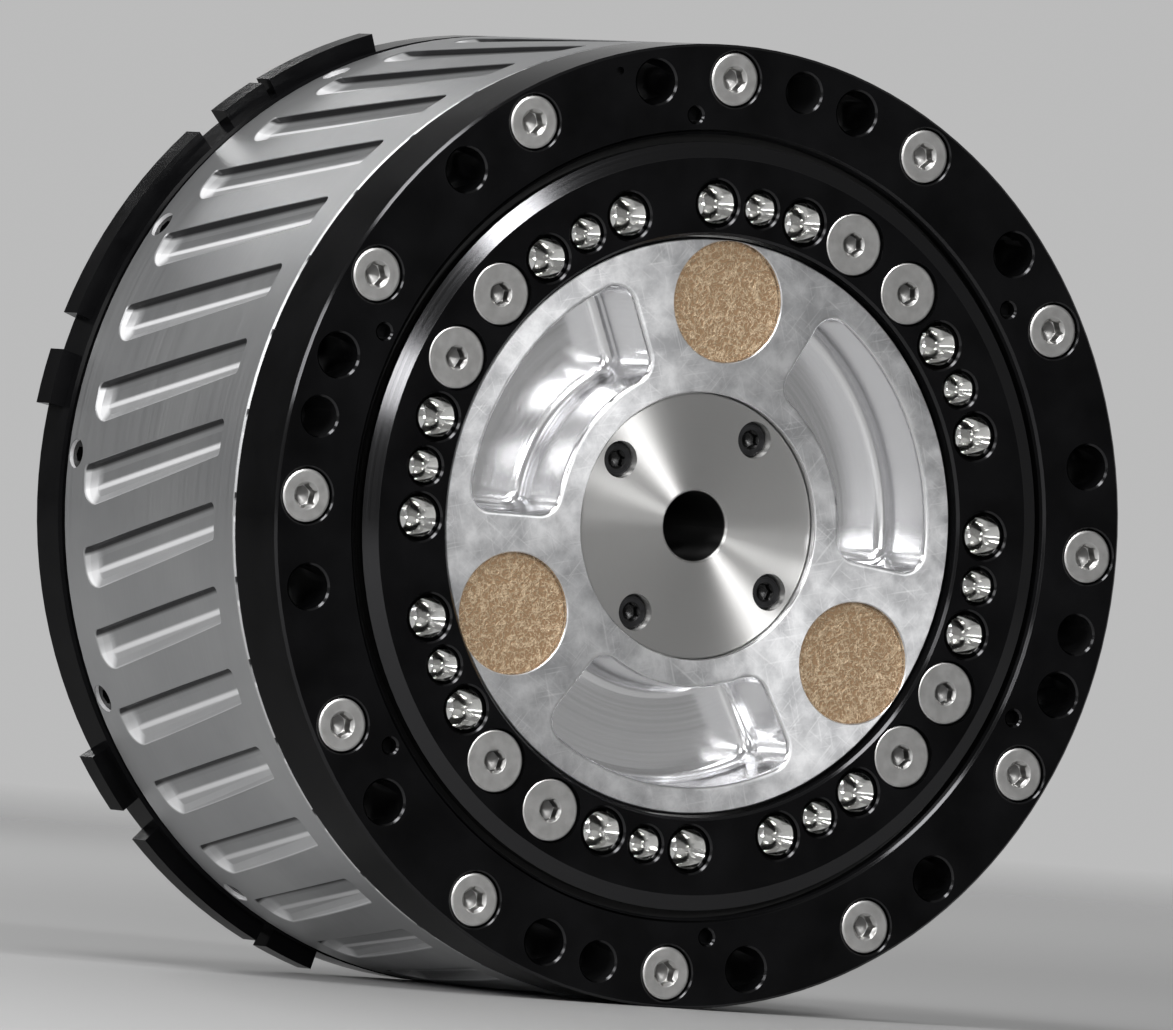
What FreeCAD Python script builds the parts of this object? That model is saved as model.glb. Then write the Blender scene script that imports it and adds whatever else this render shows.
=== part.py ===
"""Planetary joint module: a hollow-shaft geared motor for a robot's joint.

The axis of the module is Y. The front face, where the output is, looks towards -Y, and depths run
back along +Y from the face of the fixed front flange. Angles are seen from the front, in degrees
from +X towards +Z. All sizes are in millimetres.
"""
import FreeCAD, Part
from collections import namedtuple
import math
import os
import Sketcher

Vec = FreeCAD.Vector
FRONT_AXIS = Vec(0, -1, 0)
DEPTH_AXIS = Vec(0, 1, 0)

SIZES = {
    # Front flange and its holes
    "flange_radius": 49.0,
    "flange_depth": 8.9,
    "opening_radius": 39.85,
    "seal_seat_radius": 41.3,
    "seal_seat_start": 1.6,
    "bearing_seat_radius": 42.3,
    "bearing_start": 4.0,
    "screw_circle": 45.5,
    "pin_hole_circle": 41.8,
    "edge_break": 0.25,
    # Housing and its slanted cooling pockets
    "gear_end": 22.4,
    "plate_start": 25.6,
    "motor_bore": 43.3,
    "shoulder_bore": 41.0,
    "housing_end": 46.2,
    "pocket_start": 13.2,
    "pocket_end": 41.9,
    "pocket_floor": 48.25,
    "pocket_middle": 48.55,
    "pocket_mouth": 49.6,
    "pocket_lean": 6.0,
    "grub_depth": 44.3,
    # Output ring and bearing
    "output_face": -0.5,
    "output_back": 3.5,
    "output_bore": 29.6,
    "output_radius": 39.05,
    "output_neck": 37.6,
    "output_screw_circle": 33.4,
    "output_hole_circle": 32.8,
    "bearing_end": 11.6,
    "roller_circle": 37.5,
    "roller_depth": 7.5,
    "roller_radius": 1.55,
    # Planet carrier, gears and centre shaft
    "carrier_face": 0.6,
    "carrier_radius": 29.4,
    "carrier_flange": 36.2,
    "carrier_step": 11.0,
    "carrier_back": 13.6,
    "kidney_inner": 16.45,
    "kidney_outer": 26.45,
    "kidney_floor": 8.8,
    "pin_circle": 23.0,
    "pin_radius": 6.2,
    "pin_face": 1.2,
    "pillar_circle": 27.0,
    "rear_carrier_start": 22.8,
    "rear_carrier_end": 25.2,
    "gear_start": 14.1,
    "gear_length": 8.2,
    "hub_radius": 13.5,
    "hub_face": 1.4,
    "hub_back": 4.6,
    "hub_screw_circle": 11.05,
    "bore_radius": 3.5,
    "tube_radius": 4.3,
    # Rotor, stator and back
    "shaft_bore": 4.8,
    "shaft_radius": 6.5,
    "spigot_radius": 6.0,
    "sun_bearing_radius": 9.5,
    "sun_bearing_start": 8.6,
    "rotor_bearing_radius": 11.0,
    "bearing_boss_radius": 13.5,
    "bearing_length": 4.0,
    "rear_bearing_start": 41.8,
    "core_inner": 22.4,
    "rotor_start": 31.6,
    "rotor_end": 41.4,
    "magnet_inner": 26.2,
    "magnet_outer": 28.4,
    "stator_inner": 29.0,
    "stator_start": 32.0,
    "stator_end": 41.0,
    "rear_plate_start": 43.4,
    "cover_bore": 43.5,
    "cover_wall": 2.0,
    "cover_groove": 47.4,
    "cover_step": 47.1,
    "cover_rim_end": 52.1,
    "cover_end": 53.4,
    "lug_radius": 50.7,
    "lug_start": 48.7,
    "lug_end": 51.6,
    "cover_screw_circle": 45.2,
}

Screw = namedtuple("Screw", "head face under tip shank key rim")
FLANGE_SCREW = Screw(head=2.75, face=0.2, under=2.35, tip=15.5, shank=1.5, key=2.0, rim=0.35)
OUTPUT_SCREW = Screw(head=3.2, face=-0.2, under=1.6, tip=13.6, shank=1.5, key=2.0, rim=0.0)
HUB_SCREW = Screw(head=1.75, face=2.2, under=3.5, tip=8.0, shank=1.0, key=1.5, rim=0.2)
CARRIER_SCREW = Screw(head=2.75, face=25.1, under=23.5, tip=10.0, shank=1.5, key=2.0, rim=0.0)
COVER_SCREW = Screw(head=2.2, face=53.2, under=51.6, tip=42.6, shank=1.25, key=1.5, rim=0.2)

SUN_TEETH = 15
PLANET_TEETH = 30
RING_TEETH = SUN_TEETH + 2 * PLANET_TEETH
PRESSURE_ANGLE = math.radians(25)
FLANK_PLAY = 0.09
RUNNING_FIT = 0.04
ROOT_ROOM = 0.25

SCREW_COUNT = 12
POCKET_COUNT = 36
POCKET_SIDE = 5.0
POCKET_ANGLE = 87.1
MOUNT_HOLE_ANGLE = 11.6
DOWEL_HOLE_ANGLE = 79.8
PIN_HOLE_ANGLE = 95.9
INDEX_ANGLE = 106.5
OUTPUT_ANGLE = 11.2
PAIR_ANGLE = OUTPUT_ANGLE + 45
PAIR_HALF_STEP = 7.0
HOLE_STEP = 9.0
INSERT_BORE = 2.05
INSERT_WALL = 2.45
BUSH_BORE = 1.65
BUSH_WALL = 1.95
PIN_ANGLE = 86.5
PIN_EDGE = 0.1
KIDNEY_SPAN = 67.0
COVER_SCREW_ANGLE = 15.0
GRUB_ANGLE = 27.0
ROLLER_COUNT = 24
MAGNET_COUNT = 20
STATOR_TEETH = 18
LUG_SPANS = ((108.5, 123.0), (124.0, 130.0), (134.0, 160.5), (165.0, 171.5),
             (214.0, 221.5), (226.0, 245.0), (246.5, 253.0))

doc = FreeCAD.newDocument("planetary_joint_module")
sheet = doc.addObject("Spreadsheet::Sheet", "Sizes")
for row, (alias, size) in enumerate(SIZES.items(), start=1):
    sheet.set(f"A{row}", alias)
    sheet.set(f"B{row}", str(size))
    sheet.setAlias(f"B{row}", alias)
doc.recompute()

nodes = []


class Dim:
    """A length that carries its value and the sheet formula that gives it."""

    def __init__(self, value, formula):
        self.value = value
        self.formula = formula

    def __float__(self):
        return float(self.value)

    def __add__(self, other):
        return Dim(float(self) + float(other), f"({self.formula} + {formula_of(other)})")

    def __sub__(self, other):
        return Dim(float(self) - float(other), f"({self.formula} - {formula_of(other)})")

    def __mul__(self, factor):
        return Dim(float(self) * factor, f"({self.formula} * {factor})")


def formula_of(size):
    return size.formula if isinstance(size, Dim) else repr(float(size))


def dim(alias):
    return Dim(SIZES[alias], f"Sizes.{alias}")


def size_of(alias):
    return SIZES[alias]


def polar(radius, angle):
    """The X and Z of a point on a circle about the axis."""
    turn = math.radians(angle)
    across = Dim(float(radius) * math.cos(turn), f"({formula_of(radius)} * cos({angle} deg))")
    upward = Dim(float(radius) * math.sin(turn), f"({formula_of(radius)} * sin({angle} deg))")
    return across, upward


def spaced(start, count):
    return [start + 360.0 / count * step for step in range(count)]


def origin_of(body, role):
    return next(item for item in body.Origin.OriginFeatures if item.Role == role)


def new_body(label):
    body = doc.addObject("PartDesign::Body", label)
    body.Label = label
    return body


def keep(item, label):
    """Mark an object as a finished sub-part, whose label names its file."""
    item.Label = label
    nodes.append(item)
    return item


def solid_node(label, shape, place=Vec()):
    """A sub-part whose shape is worked out here, about the axis or about an axis of its own."""
    item = doc.addObject("Part::Feature", label)
    item.Shape = shape
    item.Placement = FreeCAD.Placement(place, FreeCAD.Rotation())
    return keep(item, label)


def ring_of(label, shape, angles):
    """Like pieces set round the axis, as one group of separate solids."""
    copies = []
    for angle in angles:
        copy = shape.copy()
        copy.rotate(Vec(), FRONT_AXIS, angle)
        copies.append(copy)
    return solid_node(label, Part.makeCompound(copies))


def outline(body, role, points, turn=0.0, shift=0.0):
    """A closed outline whose corners are pinned to formulas of the sheet."""
    sketch = body.newObject("Sketcher::SketchObject", body.Label + "_outline")
    sketch.AttachmentSupport = [(origin_of(body, role), "")]
    sketch.MapMode = "FlatFace"
    sketch.AttachmentOffset = FreeCAD.Placement(Vec(0, 0, shift), FreeCAD.Rotation(Vec(1, 0, 0), turn))
    count = len(points)
    corners = [Vec(float(across), float(along), 0) for across, along in points]
    for index, corner in enumerate(corners):
        sketch.addGeometry(Part.LineSegment(corner, corners[(index + 1) % count]))
    for index in range(count):
        sketch.addConstraint(Sketcher.Constraint("Coincident", index, 2, (index + 1) % count, 1))
    for index, pair in enumerate(points):
        for kind, place in zip(("DistanceX", "DistanceY"), pair):
            pin = sketch.addConstraint(Sketcher.Constraint(kind, -1, 1, index, 1, float(place)))
            if isinstance(place, Dim):
                sketch.setExpression(f"Constraints[{pin}]", place.formula)
    return sketch


def turned(label, points):
    """A piece turned on a lathe: its half section, as radius and depth, spun about the axis."""
    body = new_body(label)
    spin = body.newObject("PartDesign::Revolution", label + "_turned")
    spin.Profile = outline(body, "XY_Plane", points)
    spin.ReferenceAxis = (spin.Profile[0], ["V_Axis"])
    spin.Angle = 360
    doc.recompute()
    return body


def repeat(body, features, count):
    pattern = body.newObject("PartDesign::PolarPattern", body.Label + "_pattern")
    pattern.Originals = features
    pattern.Axis = (origin_of(body, "Y_Axis"), [""])
    pattern.Angle = 360
    pattern.Occurrences = count
    body.Tip = pattern
    doc.recompute()
    return pattern


def must_cut(body, before):
    if body.Shape.Volume > before - 1e-3:
        raise RuntimeError(f"{body.Label}: a cut removed nothing")


def drill(body, circle, angle, steps, count):
    """Round holes along the axis on a circle, each a profile of hole radius against depth."""
    before = body.Shape.Volume
    rim = [(depth, circle + radius) for radius, depth in steps]
    points = [(steps[0][1], circle)] + rim + [(steps[-1][1], circle)]
    sketch = outline(body, "YZ_Plane", points, turn=90.0 - angle)
    hole = body.newObject("PartDesign::Groove", body.Label + "_hole")
    hole.Profile = sketch
    hole.ReferenceAxis = (sketch, [f"Edge{len(points)}"])
    hole.Angle = 360
    doc.recompute()
    if count > 1:
        repeat(body, [hole], count)
    must_cut(body, before)


def pillars(body, circle, angle, radius, start, end, count):
    """Round posts along the axis, set on a circle."""
    points = [(start, circle), (start, circle + radius), (end, circle + radius), (end, circle)]
    sketch = outline(body, "YZ_Plane", points, turn=90.0 - angle)
    post = body.newObject("PartDesign::Revolution", body.Label + "_post")
    post.Profile = sketch
    post.ReferenceAxis = (sketch, [f"Edge{len(points)}"])
    post.Angle = 360
    doc.recompute()
    repeat(body, [post], count)


def straight_hole(radius, start, end):
    return [(radius, start), (radius, end)]


def chamfered_hole(radius, chamfer, start, end):
    """A hole from a face, with a chamfered mouth that also clears the face."""
    mouth = radius + chamfer
    return [(mouth, start - 0.5), (mouth, start), (radius, start + chamfer), (radius, end)]


def screw_seat(screw, outside, inside, head_room=0.15, shank_room=0.2):
    """A counterbore for a screw, from outside the face that it enters to inside the metal."""
    wide = screw.head + head_room
    narrow = screw.shank + shank_room
    return [(wide, outside), (wide, screw.under), (narrow, screw.under), (narrow, inside)]


def blind_hole(radius, start, end):
    """A drilled hole that stops in the metal, with the drill's point at its end."""
    point = 0.2
    return [(radius, start), (radius, end), (point, end + 0.6 * (radius - point))]


def edges_like(shape, wanted):
    return [f"Edge{index}" for index, edge in enumerate(shape.Edges, start=1) if wanted(edge)]


def rounded(body, edges, radius):
    base = body.Tip
    fillet = body.newObject("PartDesign::Fillet", body.Label + "_fillet")
    fillet.Base = (base, edges)
    fillet.Radius = radius
    body.Tip = fillet
    doc.recompute()


def hex_prism(across_flats, start, length):
    corner = across_flats / math.sqrt(3)
    points = [Vec(corner * math.cos(math.radians(a)), start, corner * math.sin(math.radians(a)))
              for a in range(0, 361, 60)]
    return Part.Face(Part.makePolygon(points)).extrude(DEPTH_AXIS * length)


def rod(radius, start, end):
    low, high = sorted((start, end))
    return Part.makeCylinder(radius, high - low, Vec(0, low, 0), DEPTH_AXIS)


def tube(inner, outer, start, end):
    return rod(outer, start, end).cut(rod(inner, start, end))


def sector(inner, outer, span, start, end):
    """A slice of a ring, with its middle towards +X."""
    wedge = Part.makeCylinder(outer, end - start, Vec(0, start, 0), DEPTH_AXIS, span)
    wedge = wedge.cut(rod(inner, start, end)).Solids[0]
    middle = wedge.CenterOfMass
    wedge.rotate(Vec(), FRONT_AXIS, -math.degrees(math.atan2(middle.z, middle.x)))
    return wedge


def cap_screw(circle, screw):
    """A screw on its circle: a flat head with a hexagon socket, and a plain shank."""
    head = rod(screw.head, screw.face, screw.under)
    if screw.rim > 0:
        face_edges = [edge for edge in head.Edges
                      if edge.Closed and abs(edge.CenterOfMass.y - screw.face) < 1e-6]
        head = head.makeChamfer(screw.rim, face_edges)
    socket_depth = 0.6 * (screw.under - screw.face)
    whole = head.fuse(rod(screw.shank, screw.under, screw.tip))
    whole = whole.cut(hex_prism(screw.key, screw.face, socket_depth))
    whole.translate(Vec(circle, 0, 0))
    return whole


def involute(angle):
    return math.tan(angle) - angle


def gear_face(teeth, pitch, inner, outer, thickness, first_tooth, depth):
    """A toothed disc: involute flanks, and round lands at the tips and roots."""
    base = pitch * math.cos(PRESSURE_ANGLE)
    flank_start = max(inner, base * 1.001)
    radii = [flank_start + (outer - flank_start) * part / 3 for part in range(4)]

    def half_angle(radius):
        return thickness / (2 * pitch) + involute(PRESSURE_ANGLE) - involute(math.acos(base / radius))

    def place(radius, angle):
        return Vec(radius * math.cos(angle), depth, radius * math.sin(angle))

    edges = []
    pitch_angle = 2 * math.pi / teeth
    for tooth in range(teeth):
        middle = math.radians(first_tooth) + tooth * pitch_angle
        rising = [place(radius, middle - half_angle(radius)) for radius in radii]
        falling = [place(radius, middle + half_angle(radius)) for radius in reversed(radii)]
        root_half = half_angle(flank_start)
        foot = place(inner, middle - root_half)
        heel = place(inner, middle + root_half)
        if flank_start > inner:
            edges.append(Part.makeLine(foot, rising[0]))
        edges.append(spline_through(rising))
        edges.append(Part.Arc(rising[-1], place(outer, middle), falling[0]).toShape())
        edges.append(spline_through(falling))
        if flank_start > inner:
            edges.append(Part.makeLine(falling[-1], heel))
        next_foot = place(inner, middle + pitch_angle - root_half)
        edges.append(Part.Arc(heel, place(inner, middle + pitch_angle / 2), next_foot).toShape())
    return Part.Face(Part.Wire(edges))


def spline_through(points):
    curve = Part.BSplineCurve()
    curve.interpolate(points)
    return curve.toShape()


def front_flange():
    """The black fixed ring: mounting holes, screw seats, seal seat and half the bearing seat."""
    face_chamfer = 0.5
    body = turned("front_flange", [
        (dim("opening_radius"), face_chamfer),
        (dim("opening_radius") + face_chamfer, 0),
        (dim("flange_radius") - dim("edge_break"), 0),
        (dim("flange_radius"), dim("edge_break")),
        (dim("flange_radius"), dim("flange_depth") - dim("edge_break")),
        (dim("flange_radius") - dim("edge_break"), dim("flange_depth")),
        (dim("bearing_seat_radius"), dim("flange_depth")),
        (dim("bearing_seat_radius"), dim("bearing_start")),
        (dim("seal_seat_radius"), dim("bearing_start")),
        (dim("seal_seat_radius"), dim("seal_seat_start")),
        (dim("opening_radius"), dim("seal_seat_start")),
    ])
    circle = dim("screw_circle")
    back = size_of("flange_depth") + 0.5
    edge = 0.15
    seat = screw_seat(FLANGE_SCREW, edge, back)
    mouth = seat[0][0] + edge
    drill(body, circle, 0, [(mouth, -0.5), (mouth, 0)] + seat, SCREW_COUNT)
    drill(body, circle, MOUNT_HOLE_ANGLE, chamfered_hole(2.25, 0.2, 0, back), SCREW_COUNT)
    drill(body, circle, DOWEL_HOLE_ANGLE, chamfered_hole(2.0, 0.2, 0, 7.0), 4)
    drill(body, dim("pin_hole_circle"), PIN_HOLE_ANGLE, chamfered_hole(0.8, 0.2, 0, 1.3), 6)
    drill(body, 47.3, INDEX_ANGLE, straight_hole(0.4, -0.5, 0.6), 1)
    return keep(body, "front_flange")


def flange_screws():
    screw = cap_screw(size_of("screw_circle"), FLANGE_SCREW)
    return ring_of("flange_screws", screw, spaced(0, SCREW_COUNT))


def pocket_outline(body, height, upper, lower, ends, radii):
    """One level of a cooling pocket: a leaning box with round corners, flat above the axis.

    Upper is how far its upper side is moved, lower is its width at the front and at the rear,
    and the radii go round it from the upper front corner."""
    start = size_of("pocket_start") + ends[0]
    end = size_of("pocket_end") + ends[1]
    slope = size_of("pocket_lean") / (size_of("pocket_end") - size_of("pocket_start"))

    def corner(down, depth):
        return Vec(POCKET_SIDE - slope * (depth - size_of("pocket_start")) - down, depth, 0)

    corners = [corner(upper, start), corner(upper, end), corner(lower[1], end), corner(lower[0], start)]
    sketch = body.newObject("Sketcher::SketchObject", "motor_housing_" + height)
    sketch.AttachmentSupport = [(origin_of(body, "XY_Plane"), "")]
    sketch.MapMode = "FlatFace"
    turn = 90.0 - POCKET_ANGLE
    sketch.AttachmentOffset = FreeCAD.Placement(Vec(), FreeCAD.Rotation(Vec(0, 1, 0), turn))
    sketch.setExpression("AttachmentOffset.Base.x", f"Sizes.{height} * sin({turn})")
    sketch.setExpression("AttachmentOffset.Base.z", f"Sizes.{height} * cos({turn})")
    arcs = []
    for index, (point, radius) in enumerate(zip(corners, radii)):
        back = (corners[index - 1] - point).normalize()
        ahead = (corners[(index + 1) % 4] - point).normalize()
        half = back.getAngle(ahead) / 2
        inward = (back + ahead).normalize()
        run = radius / math.tan(half)
        crown = point + inward * (radius / math.sin(half) - radius)
        arcs.append((point + back * run, crown, point + ahead * run))
    for index, (first, crown, last) in enumerate(arcs):
        sketch.addGeometry(Part.Arc(first, crown, last))
        sketch.addGeometry(Part.LineSegment(last, arcs[(index + 1) % 4][0]))
    return sketch


def motor_housing():
    """The silver can: stepped bore, a ring of leaning pockets, and screw holes at both ends."""
    rim = 0.35
    body = turned("motor_housing", [
        (dim("bearing_seat_radius"), dim("flange_depth")),
        (dim("flange_radius") - rim, dim("flange_depth")),
        (dim("flange_radius"), dim("flange_depth") + rim),
        (dim("flange_radius"), dim("housing_end") - rim),
        (dim("flange_radius") - rim, dim("housing_end")),
        (dim("motor_bore"), dim("housing_end")),
        (dim("motor_bore"), dim("plate_start")),
        (dim("shoulder_bore"), dim("plate_start")),
        (dim("shoulder_bore"), dim("gear_end")),
        (dim("bearing_seat_radius"), dim("gear_end")),
    ])
    before = body.Shape.Volume
    floor = pocket_outline(body, "pocket_floor", 1.3, (3.0, 3.75), (0.2, -1.9), (0.5, 0.5, 1.0, 0.5))
    middle = pocket_outline(body, "pocket_middle", 0.25, (3.6, 4.45), (0.1, -0.75), (0.8, 0.6, 1.8, 0.5))
    mouth = pocket_outline(body, "pocket_mouth", -0.4, (4.8, 5.55), (0.0, 1.35), (0.9, 0.9, 2.4, 0.6))
    pocket = body.newObject("PartDesign::SubtractiveLoft", "motor_housing_pocket")
    pocket.Profile = mouth
    pocket.Sections = [middle, floor]
    pocket.Ruled = True
    doc.recompute()
    must_cut(body, before)
    repeat(body, [pocket], POCKET_COUNT)
    start = size_of("flange_depth") - 0.5
    drill(body, dim("screw_circle"), 0, straight_hole(1.5, start, 16.0), SCREW_COUNT)
    back = size_of("housing_end") + 0.5
    drill(body, dim("cover_screw_circle"), COVER_SCREW_ANGLE, straight_hole(1.25, 42.4, back), 6)
    grubs = body.newObject("Sketcher::SketchObject", "motor_housing_grub_hole")
    grubs.AttachmentSupport = [(origin_of(body, "XY_Plane"), "")]
    grubs.MapMode = "FlatFace"
    turn = FreeCAD.Rotation(Vec(0, 1, 0), 90.0 - GRUB_ANGLE)
    grubs.AttachmentOffset = FreeCAD.Placement(Vec(), turn)
    grubs.addGeometry(Part.Circle(Vec(0, size_of("grub_depth"), 0), Vec(0, 0, 1), 1.5))
    hole = body.newObject("PartDesign::Pocket", "motor_housing_grub")
    hole.Profile = grubs
    hole.Reversed = True
    hole.Length = size_of("flange_radius") + 2
    doc.recompute()
    before = body.Shape.Volume
    repeat(body, [hole], SCREW_COUNT)
    must_cut(body, before)
    return keep(body, "motor_housing")


def housing_plugs():
    """Radial grub screws in the housing's rear rim, which pin the rear plate."""
    length = 3.4
    grub = rod(1.5, 0, length).cut(hex_prism(1.5, length, -1.6))
    grub.rotate(Vec(), Vec(0, 0, 1), -90)
    grub.translate(Vec(size_of("flange_radius") - 0.5 - length, size_of("grub_depth"), 0))
    return ring_of("housing_plugs", grub, spaced(GRUB_ANGLE, SCREW_COUNT))


def dust_seal():
    body = turned("dust_seal", [
        (dim("output_neck") + 0.4, 2.4),
        (dim("seal_seat_radius"), 1.9),
        (dim("seal_seat_radius"), dim("bearing_start")),
        (dim("output_neck") + 1.6, dim("bearing_start")),
        (dim("output_neck") + 1.0, 3.3),
        (dim("output_neck") + 0.4, 3.1),
    ])
    return keep(body, "dust_seal")


def bearing_rings():
    """The crossed-roller bearing's two rings, with square grooves that hold the rollers."""
    middle = dim("roller_depth")
    circle = dim("roller_circle")
    gap = 0.4
    reach = dim("roller_radius") * math.sqrt(2) + 0.1
    mouth = reach - gap
    outer = turned("bearing_outer_ring", [
        (circle + gap, dim("bearing_start")),
        (dim("bearing_seat_radius"), dim("bearing_start")),
        (dim("bearing_seat_radius"), dim("bearing_end")),
        (circle + gap, dim("bearing_end")),
        (circle + gap, middle + mouth),
        (circle + reach, middle),
        (circle + gap, middle - mouth),
    ])
    keep(outer, "bearing_outer_ring")
    inner = turned("bearing_inner_ring", [
        (dim("carrier_radius"), dim("output_back")),
        (circle - gap, dim("output_back")),
        (circle - gap, middle - mouth),
        (circle - reach, middle),
        (circle - gap, middle + mouth),
        (circle - gap, dim("carrier_step")),
        (dim("carrier_radius"), dim("carrier_step")),
    ])
    start = size_of("output_back") - 0.5
    for angle in output_screw_angles():
        drill(inner, dim("output_screw_circle"), angle, straight_hole(1.6, start, 12.0), 4)
    for angle in insert_angles():
        drill(inner, dim("output_hole_circle"), angle, blind_hole(INSERT_BORE, start, 6.0), 4)
    for angle in bush_angles():
        drill(inner, dim("output_hole_circle"), angle, blind_hole(BUSH_BORE, start, 5.0), 4)
    return keep(inner, "bearing_inner_ring")


def output_screw_angles():
    return [PAIR_ANGLE + side * PAIR_HALF_STEP for side in (-1, 1)]


def insert_angles():
    return [OUTPUT_ANGLE + step * HOLE_STEP for step in (-3, -1, 1, 3)]


def bush_angles():
    return [OUTPUT_ANGLE + step * HOLE_STEP for step in (-2, 2)]


def round_the_quarters(angles):
    return [angle + 90.0 * quarter for quarter in range(4) for angle in angles]


def bearing_rollers():
    """Short rollers whose axes lean one way and the other in turn."""
    length = 2.0 * size_of("roller_radius") - 0.1
    rollers = []
    for index, angle in enumerate(spaced(0, ROLLER_COUNT)):
        roller = rod(size_of("roller_radius"), -length / 2, length / 2)
        roller.rotate(Vec(), Vec(0, 0, 1), 45 if index % 2 else -45)
        roller.translate(Vec(size_of("roller_circle"), size_of("roller_depth"), 0))
        roller.rotate(Vec(), FRONT_AXIS, angle)
        rollers.append(roller)
    return solid_node("bearing_rollers", Part.makeCompound(rollers))


def output_ring():
    """The black output ring: bevelled rim, screw seats, and holes for inserts and bushes."""
    face = dim("output_face")
    bevel = 0.6
    body = turned("output_ring", [
        (dim("output_bore"), face + 0.3),
        (dim("output_bore") + 0.3, face),
        (dim("output_radius") - 1.55, face),
        (dim("output_radius"), face + bevel),
        (dim("output_radius"), 1.3),
        (dim("output_neck"), 1.3),
        (dim("output_neck"), dim("output_back")),
        (dim("output_bore"), dim("output_back")),
    ])
    face_depth = size_of("output_face")
    front = face_depth - 0.5
    back = size_of("output_back") + 0.5
    seat = screw_seat(OUTPUT_SCREW, front, back, shank_room=0.1)
    for angle in output_screw_angles():
        drill(body, dim("output_screw_circle"), angle, seat, 4)
    for angle in insert_angles():
        drill(body, dim("output_hole_circle"), angle, chamfered_hole(INSERT_WALL, 0.2, face_depth, back), 4)
    for angle in bush_angles():
        drill(body, dim("output_hole_circle"), angle, chamfered_hole(BUSH_WALL, 0.2, face_depth, back), 4)
    return keep(body, "output_ring")


def output_screws():
    screw = cap_screw(size_of("output_screw_circle"), OUTPUT_SCREW)
    return ring_of("output_screws", screw, round_the_quarters(output_screw_angles()))


def lined_hole(bore, wall):
    """A thin sleeve below the ring's own countersink, with its own countersunk mouth."""
    face = size_of("output_face") + 0.2
    mouth = bore + 0.2
    sleeve = tube(bore, wall, face, size_of("output_back"))
    sleeve = sleeve.cut(Part.makeCone(mouth, bore, mouth - bore, Vec(0, face, 0), DEPTH_AXIS))
    sleeve.translate(Vec(size_of("output_hole_circle"), 0, 0))
    return sleeve


def thread_inserts():
    insert = lined_hole(INSERT_BORE, INSERT_WALL)
    return ring_of("thread_inserts", insert, round_the_quarters(insert_angles()))


def dowel_bushes():
    bush = lined_hole(BUSH_BORE, BUSH_WALL)
    return ring_of("dowel_bushes", bush, round_the_quarters(bush_angles()))


def on_kidney_rim(point):
    radius = math.hypot(point.x, point.z)
    return (abs(point.y - size_of("carrier_face")) < 1e-3
            and size_of("kidney_inner") - 0.1 < radius < size_of("kidney_outer") + 0.1)


def carrier_front():
    """The silver carrier: three kidney pockets, seats for the journal pins, hub and sun bearing."""
    face = dim("carrier_face")
    body = turned("carrier_front", [
        (dim("hub_radius") + 0.25, face),
        (dim("carrier_radius") - 0.3, face),
        (dim("carrier_radius"), face + 0.3),
        (dim("carrier_radius"), dim("carrier_step")),
        (dim("carrier_flange"), dim("carrier_step")),
        (dim("carrier_flange"), dim("carrier_back")),
        (dim("sun_bearing_radius"), dim("carrier_back")),
        (dim("sun_bearing_radius"), dim("sun_bearing_start")),
        (dim("tube_radius") + 0.9, dim("sun_bearing_start")),
        (dim("tube_radius") + 0.9, dim("hub_back")),
        (dim("hub_radius") + 0.1, dim("hub_back")),
        (dim("hub_radius") + 0.1, face + 0.15),
    ])
    before = body.Shape.Volume
    sketch = outline(body, "YZ_Plane", [
        (face - 0.5, dim("kidney_inner")),
        (face - 0.5, dim("kidney_outer")),
        (dim("kidney_floor"), dim("kidney_outer")),
        (dim("kidney_floor"), dim("kidney_inner")),
    ], turn=90.0 - (PIN_ANGLE + 60.0))
    kidney = body.newObject("PartDesign::Groove", "carrier_front_kidney")
    kidney.Profile = sketch
    kidney.ReferenceAxis = (sketch, ["H_Axis"])
    kidney.Midplane = True
    kidney.Angle = KIDNEY_SPAN
    doc.recompute()
    repeat(body, [kidney], 3)
    must_cut(body, before)
    floor = size_of("kidney_floor")
    corners = edges_like(body.Shape, lambda edge: edge.Curve.TypeId == "Part::GeomLine"
                         and abs(edge.Length - (floor - size_of("carrier_face"))) < 1e-3)
    rounded(body, corners, 2.2)
    floor_edges = edges_like(body.Shape, lambda edge: all(abs(corner.Point.y - floor) < 1e-3
                                                          for corner in edge.Vertexes))
    rounded(body, floor_edges, 1.4)
    rim_edges = edges_like(body.Shape, lambda edge: all(on_kidney_rim(corner.Point)
                                                        for corner in edge.Vertexes))
    rounded(body, rim_edges, 0.5)
    pin_seat = chamfered_hole(size_of("pin_radius"), 0.12, size_of("carrier_face"), 14.0)
    drill(body, dim("pin_circle"), PIN_ANGLE, pin_seat, 3)
    for angle in output_screw_angles():
        drill(body, dim("output_screw_circle"), angle, straight_hole(1.5, 10.5, 14.0), 4)
    drill(body, dim("pillar_circle"), PIN_ANGLE + 60, straight_hole(1.5, 9.7, 14.0), 3)
    drill(body, dim("hub_screw_circle"), PAIR_ANGLE, straight_hole(1.0, 4.1, 8.2), 4)
    return keep(body, "carrier_front")


def carrier_rear():
    """The carrier's back plate, with three pillars that stand between the planets."""
    body = turned("carrier_rear", [
        (9.3, dim("rear_carrier_start")),
        (33.0, dim("rear_carrier_start")),
        (33.0, dim("rear_carrier_end")),
        (9.3, dim("rear_carrier_end")),
    ])
    circle = dim("pillar_circle")
    pillars(body, circle, PIN_ANGLE + 60, 4.5, dim("carrier_back"), dim("rear_carrier_start") + 0.5, 3)
    drill(body, dim("pin_circle"), PIN_ANGLE, straight_hole(size_of("pin_radius"), 22.0, 26.0), 3)
    drill(body, circle, PIN_ANGLE + 60, screw_seat(CARRIER_SCREW, 26.0, 13.0), 3)
    return keep(body, "carrier_rear")


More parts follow.
